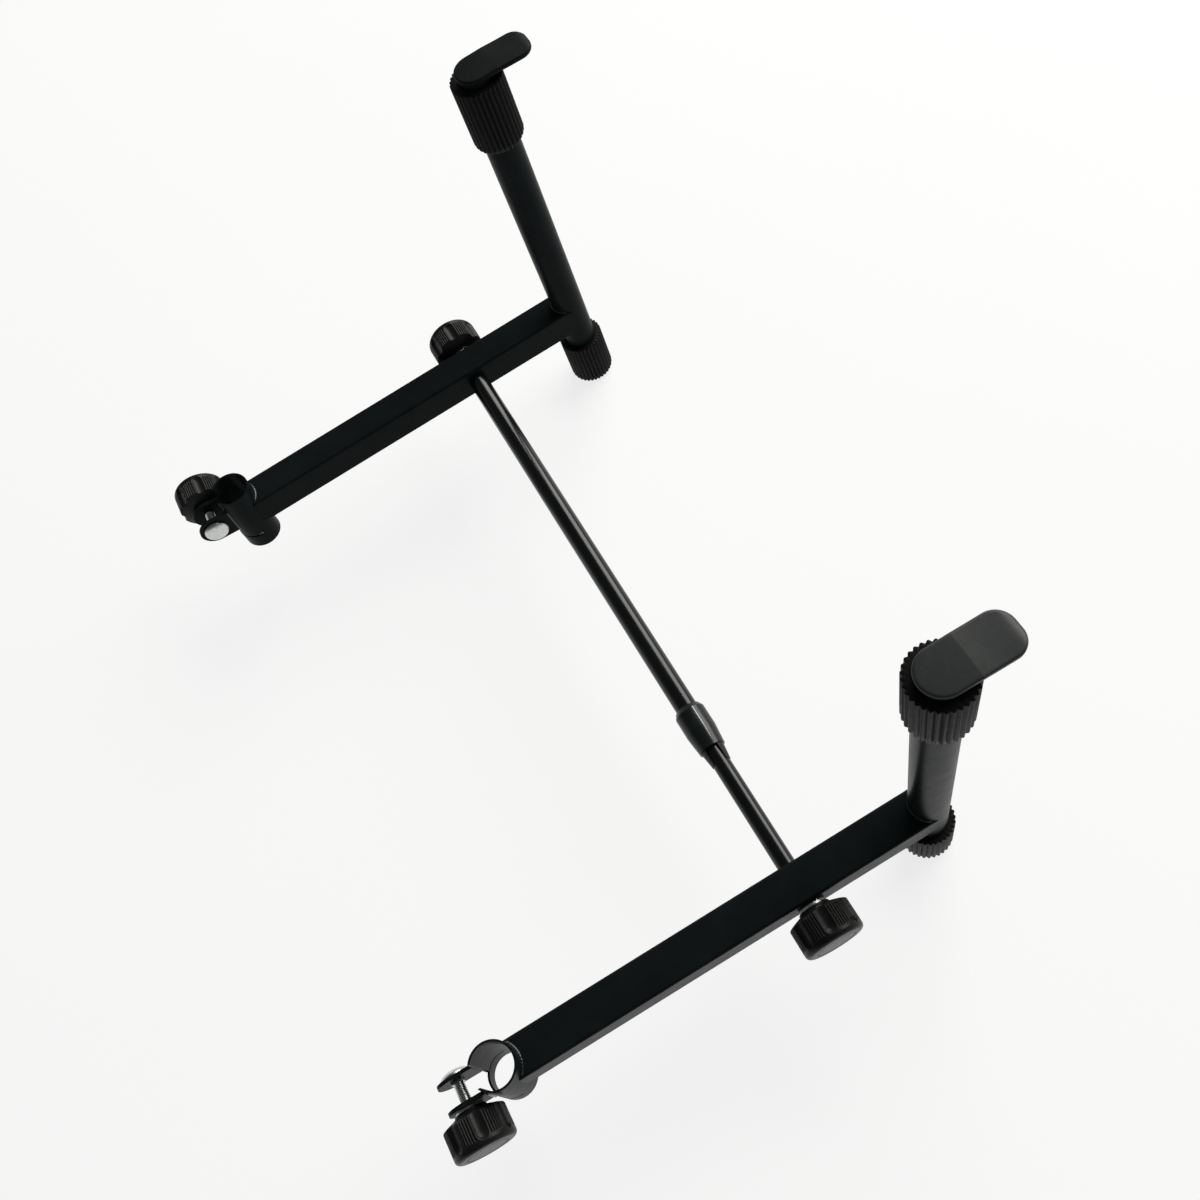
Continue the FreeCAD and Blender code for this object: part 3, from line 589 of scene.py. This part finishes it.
def support_pad(side):
    """Rubber tongue on its boss and pin."""
    node = side + "_support_pad"
    pin_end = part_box(node)[0].z
    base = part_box(side + "_grip_cap")[1].z
    middle = box_middle(side + "_grip_cap")
    flat_top = base + BOSS_HEIGHT + PAD_THICK
    points, faces = joined(tongue_mesh(middle, flat_top), boss_mesh(middle, pin_end, base, flat_top))
    piece = new_piece(side + "_tongue", points, faces, PAD_LOOKS[side], side + "_cap")
    sharpen(piece, PAD_SHARP_DEGREES)
    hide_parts(node)


# Knobs. Places along a knob are counted from its foot, towards its face.

LOBES = 7
KNOB_STEPS = LOBES * 90
# Where the first hollow lies at rest, from +Y
KNOB_TURN = {"clamp": math.radians(6.8), "bar": math.radians(43.2)}
# The moulding is this much slimmer than the box of its solid
KNOB_TRIM = 0.02 * MM
KNOB_SHARP_DEGREES = 50

VALLEY_RADIUS = 7 * MM
VALLEY_DEPTH = 1.9 * MM
VALLEY_STOP = 1.6 * MM
VALLEY_BLEND = 0.35 * MM
RIB_PITCH = math.radians(5.2)
RIBS = 5
RIB_DEPTH = 0.6 * MM
RIB_STOP = 4.4 * MM
RIB_FADE = 1.6 * MM
RIB_OPEN_SHARE = 0.62
# Nearer to the axis, or to the face, there are no hollows or grip lines
KNOB_PLAIN_R = 11.5 * MM
KNOB_PLAIN_FACE = 0.5 * MM

SCREW_HOLE_R = 4.4 * MM
SCREW_HOLE_END = 20 * MM
INSERT_R = 6.56 * MM
INSERT_END = 12.05 * MM
# Place and radius, in millimetres, from the rim of the foot up the slope to the shoulder
KNOB_NECK = [(0, 10.4), (0.3, 10.9), (0.8, 11), (1.4, 11), (2.3, 13.4), (3.4, 16.4), (4.3, 18.8)]
KNOB_SHOULDER = 5 * MM
KNOB_CORNER = 1.2 * MM
KNOB_BODY_PLACES = (8 * MM, 11 * MM, 14 * MM, 16.5 * MM)
KNOB_NOSE_ROWS = 12
KNOB_EDGE = 3.2 * MM
KNOB_ARC_STEPS = 6
# Depth under the face and radius, in millimetres, from the rim across a ring-shaped groove to the middle
KNOB_FACE = [(0, 15.2), (0, 14.4), (0.35, 14.2), (0.35, 13.6), (0, 13.4), (0, 9), (0, 4), (0, 0)]


def nose_place(length):
    """Place on a knob where its hollows start to run out."""
    return length - VALLEY_STOP - VALLEY_RADIUS


def knob_profile(length, radius):
    """Half section of a knob from the bottom of its hole round to the middle of its face."""
    arc = quarter(KNOB_ARC_STEPS)
    nose = nose_place(length)
    rows = [(length - KNOB_EDGE - nose) * k / KNOB_NOSE_ROWS for k in range(KNOB_NOSE_ROWS)]
    hole = [(SCREW_HOLE_END, 0), (SCREW_HOLE_END, SCREW_HOLE_R), (INSERT_END, SCREW_HOLE_R)]
    hole += [(INSERT_END, INSERT_R), (0, INSERT_R)]
    neck = [(place * MM, reach * MM) for place, reach in KNOB_NECK]
    shoulder = [(KNOB_SHOULDER + KNOB_CORNER * (1 - s), radius - KNOB_CORNER * (1 - c))
                for s, c in reversed(arc[:-1])]
    body = [(place, radius) for place in KNOB_BODY_PLACES] + [(nose + row, radius) for row in rows]
    rim = [(length - KNOB_EDGE * (1 - s), radius - KNOB_EDGE * (1 - c)) for s, c in arc]
    face = [(length - depth * MM, reach * MM) for depth, reach in KNOB_FACE]
    return hole + neck + shoulder + body + rim + face


def hollowed(place, reach, angle, length, radius):
    """Radius with the hollows between the lobes, which end in a ball under the face."""
    aside = ((angle * LOBES / TURN + 0.5) % 1 - 0.5) * TURN / LOBES
    centre = radius - VALLEY_DEPTH + VALLEY_RADIUS
    past = max(0, place - nose_place(length))
    if past < VALLEY_RADIUS:
        ball = math.sqrt(VALLEY_RADIUS ** 2 - past ** 2)
        sideways = centre * math.sin(aside)
        if abs(sideways) < ball:
            hollow = centre * math.cos(aside) - math.sqrt(ball ** 2 - sideways ** 2)
            reach = soft_min(reach, hollow, VALLEY_BLEND)
    return reach


def ribbed(place, reach, angle, length, radius):
    """Radius with the V-shaped grip lines along the middle of each lobe."""
    lobe = ((angle * LOBES / TURN) % 1 - 0.5) * TURN / LOBES
    line = lobe / RIB_PITCH
    if abs(line) < RIBS / 2 and radius - reach < RIB_DEPTH * 2:
        fade = 1 - smooth_step(length - RIB_STOP - RIB_FADE, length - RIB_STOP, place)
        off = abs(line - round(line)) * 2 / RIB_OPEN_SHARE
        reach -= RIB_DEPTH * max(0, 1 - off) * fade
    return reach


def knob(side, name, body):
    """Knob with ribbed lobes, an insert's seat in its foot and a ring in its face."""
    node = "%s_%s_knob" % (side, name)
    out = SIDES[side]
    low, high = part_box(node)
    middle = box_middle(node)
    length = high.x - low.x
    radius = min(high.y - low.y, high.z - low.z) / 2 - KNOB_TRIM
    start = low.x if out > 0 else high.x

    def place_of(place, reach, angle):
        if reach >= KNOB_PLAIN_R and place <= length - KNOB_PLAIN_FACE:
            reach = hollowed(place, reach, angle, length, radius)
            reach = ribbed(place, reach, angle, length, radius)
        turned = out * angle + KNOB_TURN[name]
        y = middle.y + reach * math.cos(turned)
        z = middle.z + reach * math.sin(turned)
        return Vector((start + out * place, y, z))

    points, faces = turned_mesh(knob_profile(length, radius), KNOB_STEPS, place_of)
    piece = new_piece("%s_%s_knob_moulding" % (side, name), points, faces, KNOB_PLASTIC, body)
    sharpen(piece, KNOB_SHARP_DEGREES)
    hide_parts(node)


# Cup-head bolts. Places along a bolt are counted from the top of its head.

HEAD_R = 10.3 * MM
HEAD_HEIGHT = 5 * MM
HEAD_DOME_SHARE = 0.86
HEAD_DOME_STEPS = 10
HEAD_EDGE = 0.2 * MM
HEAD_UNDER_R = 6 * MM
NECK_HALF = 4.1 * MM
NECK_LENGTH = 4 * MM
# Reach to the corners of the square neck as a share of its half width, and the first ring under the head
NECK_CORNER_SHARE = 1.36
NECK_START = 0.001 * MM
SHANK_START = HEAD_HEIGHT + NECK_LENGTH
THREAD_R = 4 * MM
THREAD_PITCH = 1.25 * MM
THREAD_DEPTH = 0.75 * MM
THREAD_POWER = 0.85
THREAD_STEPS = 28
THREAD_ROWS = 8
THREAD_SLACK = 0.01 * MM
# The thread draws in by a share between these distances from its end
THREAD_END_SHARE = 0.2
THREAD_END_FROM = 1.4 * MM
THREAD_END_TO = 0.2 * MM
BOLT_SHARP_DEGREES = 32


def bolt_reach(place, reach, angle, length):
    """Radius of a bolt with its square neck and its thread."""
    if HEAD_HEIGHT < place <= SHANK_START:
        return min(reach, NECK_HALF / max(abs(math.cos(angle)), abs(math.sin(angle))))
    if place > SHANK_START and reach >= THREAD_R - THREAD_SLACK:
        phase = (place / THREAD_PITCH - angle / TURN) % 1
        fade = 1 - smooth_step(length - THREAD_END_FROM, length - THREAD_END_TO, place) * THREAD_END_SHARE
        return (THREAD_R - THREAD_DEPTH * abs(2 * phase - 1) ** THREAD_POWER) * fade
    return reach


def bolt_profile(length):
    """Half section of a bolt from the top of its head to its end."""
    dome = HEAD_HEIGHT * HEAD_DOME_SHARE
    head = [(dome * (1 - c), HEAD_R * s) for s, c in quarter(HEAD_DOME_STEPS)]
    head += [(HEAD_HEIGHT - HEAD_EDGE, HEAD_R), (HEAD_HEIGHT, HEAD_R - HEAD_EDGE)]
    head.append((HEAD_HEIGHT, HEAD_UNDER_R))
    neck_reach = NECK_HALF * NECK_CORNER_SHARE
    neck = [(HEAD_HEIGHT + NECK_START, neck_reach), (SHANK_START, neck_reach)]
    shank_length = length - SHANK_START
    rows = int(shank_length / THREAD_PITCH * THREAD_ROWS)
    shank = [(SHANK_START + shank_length * k / rows, THREAD_R) for k in range(1, rows + 1)]
    return head + neck + shank + [(length, 0)]


def clamp_bolt(side):
    """Bolt with a domed head, a square neck and a rolled thread."""
    node = side + "_clamp_bolt"
    out = SIDES[side]
    low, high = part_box(node)
    middle = box_middle(node)
    length = high.x - low.x
    start = low.x if out > 0 else high.x

    def place_of(place, reach, angle):
        reach = bolt_reach(place, reach, angle, length)
        y = middle.y + reach * math.cos(angle)
        z = middle.z + out * reach * math.sin(angle)
        return Vector((start + out * place, y, z))

    points, faces = turned_mesh(bolt_profile(length), THREAD_STEPS, place_of)
    piece = new_piece(side + "_cup_head_bolt", points, faces, ZINC, side + "_frame")
    sharpen(piece, BOLT_SHARP_DEGREES)
    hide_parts(node)


# Weld beads

BEAD_RIPPLE = 2.1 * MM
BEAD_VALLEY_SHARE = 0.88
BEAD_STEPS = 10
# A bead starts at this share of its size and is full after a few spots
BEAD_END_SHARE = 0.3
BEAD_END_SPOTS = 4
BEAD_ARC_SPOTS = 48
BEAD_LINE_SPOTS = 40
POST_BEAD_R = 1.0 * MM
POST_BEAD_SPREAD = math.radians(64)
CLAMP_BEAD_R = 1.6 * MM
CLAMP_BEAD_SPREAD = math.radians(47)
EAR_BEAD_R = 1.2 * MM
POST_R = 13.3 * MM
CLAMP_R = 15.7 * MM
CLAMP_Y = 157.45 * MM
CLAMP_LEAN = math.radians(5)
ARM_HALF = 13.4 * MM
EAR_OUTSIDE = 10.1 * MM
EAR_LOW = -9 * MM
EAR_HIGH = 18 * MM


def bead(name, path, radius, body):
    """Rippled weld bead along a path of points."""
    rings = []
    distance = 0
    last = len(path) - 1
    for k, spot in enumerate(path):
        ahead = (path[min(k + 1, last)] - path[max(k - 1, 0)]).normalized()
        side = ahead.orthogonal().normalized()
        across = ahead.cross(side)
        if k:
            distance += (spot - path[k - 1]).length
        ends = min(1, BEAD_END_SHARE + min(k, last - k) / BEAD_END_SPOTS)
        ripple = (1 - BEAD_VALLEY_SHARE) * abs(math.sin(math.pi * distance / BEAD_RIPPLE))
        swell = radius * ends * (BEAD_VALLEY_SHARE + ripple)
        angles = [TURN * j / BEAD_STEPS for j in range(BEAD_STEPS)]
        rings.append([spot + swell * (math.cos(angle) * side + math.sin(angle) * across) for angle in angles])
    points, faces = rod_mesh(rings, BEAD_STEPS)
    new_piece(name, points, faces, WELD_BLACK, body)


def bead_arc(centre, radius, spread, toward):
    """Points of a level arc that opens toward +Y or -Y."""
    found = []
    for k in range(BEAD_ARC_SPOTS + 1):
        angle = spread * (2 * k / BEAD_ARC_SPOTS - 1)
        found.append(centre + radius * Vector((math.sin(angle), toward * math.cos(angle), 0)))
    return found


def ear_line(clamp, aside):
    """Points up the seam between the clamp tube and one side of an ear."""
    lean = Matrix.Rotation(CLAMP_LEAN, 3, "X")
    reach = math.sqrt(CLAMP_R ** 2 - EAR_OUTSIDE ** 2)
    heights = [EAR_LOW + (EAR_HIGH - EAR_LOW) * k / BEAD_LINE_SPOTS for k in range(BEAD_LINE_SPOTS + 1)]
    return [clamp + lean @ Vector((aside, reach, height)) for height in heights]


def weld_beads(side):
    """Welds of the arm on its post and its clamp tube, and of the ears on the clamp tube."""
    body = side + "_frame"
    post = box_middle(side + "_post")
    post.z = box_middle("bar_inner_tube").z
    clamp = Vector((post.x, CLAMP_Y, post.z))
    for name, rise in (("top", ARM_HALF), ("base", -ARM_HALF)):
        seam = bead_arc(post + Vector((0, 0, rise)), POST_R, POST_BEAD_SPREAD, 1)
        bead("%s_weld_post_%s" % (side, name), seam, POST_BEAD_R, body)
        centre = clamp + Vector((0, -rise * math.tan(CLAMP_LEAN), rise))
        seam = bead_arc(centre, CLAMP_R, CLAMP_BEAD_SPREAD, -1)
        bead("%s_weld_clamp_%s" % (side, name), seam, CLAMP_BEAD_R, body)
    for k, aside in enumerate((-EAR_OUTSIDE, EAR_OUTSIDE)):
        bead("%s_weld_ear_%d" % (side, k), ear_line(clamp, aside), EAR_BEAD_R, body)


# Collar's mould line

LINE_WIDTH = 1.3 * MM
LINE_TOP_SHARE = 0.6
LINE_RISE = 0.2 * MM
LINE_SINK = 0.3 * MM
LINE_ANGLE = math.radians(19)
LINE_SHARP_DEGREES = 30
COLLAR_TIP_R = 9.7 * MM
COLLAR_R = 11.2 * MM
COLLAR_TAPER = 15 * MM
COLLAR_ROUND = 3.4 * MM


def mould_line():
    """Fine raised line where the two halves of the collar's mould met."""
    low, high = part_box("lock_collar")
    middle = box_middle("lock_collar")
    section = [(-LINE_SINK, -1), (LINE_RISE, -LINE_TOP_SHARE), (LINE_RISE, LINE_TOP_SHARE), (-LINE_SINK, 1)]
    outside = [(low.x, COLLAR_TIP_R), (low.x + COLLAR_TAPER, COLLAR_R), (high.x - COLLAR_ROUND, COLLAR_R)]
    rings = []
    for x, radius in outside:
        ring = []
        for rise, aside in section:
            angle = LINE_ANGLE + aside * LINE_WIDTH / 2 / radius
            reach = radius + rise
            ring.append(Vector((x, middle.y - reach * math.sin(angle), middle.z + reach * math.cos(angle))))
        rings.append(ring)
    points, faces = rod_mesh(rings, len(section))
    piece = new_piece("collar_mould_line", points, faces, MOULD_LINE, "lock_collar")
    sharpen(piece, LINE_SHARP_DEGREES)


# Stage, light and camera

CAMERA_PLACE = Vector((-0.3937, -0.0422, 0.8400))
CAMERA_AIM = Vector((-0.0088, -0.0550, 0.1000))
CAMERA_ROLL = math.radians(-29.91)
CAMERA_LENS = 34.37
CAMERA_SENSOR = 36

WINDOW_PLACE = Vector((1.5, -2.9, 2.3))
WINDOW_AIM = Vector((0, -0.05, 0.08))
WINDOW_WIDTH = 4.4
WINDOW_HEIGHT = 2.2
WINDOW_POWER = 235
WINDOW_COLOUR = (1, 0.98, 0.94)

FLOOR_REACH = 60
FLOOR_CLOUDS = (3, 4)
FLOOR_STOPS = [(0.3, grey(0.88)), (0.7, grey(0.9))]
FLOOR_ROUGH = 0.8
# Share of plain white where the floor is seen, and the rest keeps the shadow
FLOOR_WHITE_SHARE = 0.8

# Height over the horizon and colour of the room
ROOM_STOPS = [(0, grey(0.85)), (0.10, grey(0.52)), (0.25, (0.27, 0.272, 0.272)),
              (0.45, (0.15, 0.155, 0.155)), (0.85, (0.07, 0.08, 0.08))]


def add_camera():
    """Camera at the photo's place, rolled as the photo is."""
    data = bpy.data.cameras.new("camera")
    data.lens = CAMERA_LENS
    data.sensor_width = CAMERA_SENSOR
    camera = new_object("camera", data)
    look = (CAMERA_AIM - CAMERA_PLACE).to_track_quat("-Z", "Y").to_matrix()
    rolled = look @ Matrix.Rotation(CAMERA_ROLL, 3, "Z")
    camera.matrix_world = Matrix.Translation(CAMERA_PLACE) @ rolled.to_4x4()
    bpy.context.scene.camera = camera


def add_window():
    """One large soft light, as from a window."""
    data = bpy.data.lights.new("window", "AREA")
    data.shape = "RECTANGLE"
    data.size = WINDOW_WIDTH
    data.size_y = WINDOW_HEIGHT
    data.energy = WINDOW_POWER
    data.color = WINDOW_COLOUR
    light = new_object("window", data)
    light.location = WINDOW_PLACE
    light.rotation_euler = (WINDOW_AIM - WINDOW_PLACE).to_track_quat("-Z", "Y").to_euler()


def white_share(tree):
    """Share of plain white for rays that see the floor, also in a mirror or through glass."""
    rays = tree.nodes.new("ShaderNodeLightPath")
    seen = rays.outputs["Is Camera Ray"]
    for kind in ("Is Glossy Ray", "Is Transmission Ray"):
        either = tree.nodes.new("ShaderNodeMath")
        either.operation = "MAXIMUM"
        tree.links.new(seen, either.inputs[0])
        tree.links.new(rays.outputs[kind], either.inputs[1])
        seen = either.outputs["Value"]
    share = tree.nodes.new("ShaderNodeMath")
    share.operation = "MULTIPLY"
    tree.links.new(seen, share.inputs[0])
    share.inputs[1].default_value = FLOOR_WHITE_SHARE
    return share.outputs["Value"]


def floor_material():
    """Pale floor that shows nearly white and keeps a soft shadow."""
    material, tree, bsdf = new_material("floor")
    cloudy(tree, bsdf, FLOOR_CLOUDS, FLOOR_STOPS)
    bsdf.inputs["Roughness"].default_value = FLOOR_ROUGH
    white = tree.nodes.new("ShaderNodeEmission")
    mix = tree.nodes.new("ShaderNodeMixShader")
    tree.links.new(white_share(tree), mix.inputs["Fac"])
    tree.links.new(bsdf.outputs["BSDF"], mix.inputs[1])
    tree.links.new(white.outputs["Emission"], mix.inputs[2])
    tree.links.new(mix.outputs["Shader"], tree.nodes["Material Output"].inputs["Surface"])
    return material


def add_floor():
    """Level floor under the part, out to the horizon."""
    corners = [(-1, -1), (1, -1), (1, 1), (-1, 1)]
    mesh = bpy.data.meshes.new("floor")
    mesh.from_pydata([(x * FLOOR_REACH, y * FLOOR_REACH, 0) for x, y in corners], [], [(0, 1, 2, 3)])
    floor = new_object("floor", mesh)
    floor.data.materials.append(floor_material())


def add_world():
    """Dim room, pale at the horizon and darker overhead."""
    world = bpy.data.worlds.new("room")
    bpy.context.scene.world = world
    world.use_nodes = True
    tree = world.node_tree
    place = tree.nodes.new("ShaderNodeTexCoord")
    split = tree.nodes.new("ShaderNodeSeparateXYZ")
    tree.links.new(place.outputs["Generated"], split.inputs["Vector"])
    background = tree.nodes["Background"]
    tree.links.new(ramp(tree, split.outputs["Z"], ROOM_STOPS), background.inputs["Color"])
    background.inputs["Strength"].default_value = 1


def studio():
    """Floor, room, light and camera."""
    bpy.context.scene.view_settings.view_transform = "Standard"
    add_floor()
    add_world()
    add_window()
    add_camera()


dress_solids()
for side in SIDES:
    post_foot(side)
    grip_cap(side)
    support_pad(side)
    knob(side, "clamp", side + "_clamp_knob")
    knob(side, "bar", side + "_bar_knob")
    clamp_bolt(side)
    weld_beads(side)
mould_line()
studio()
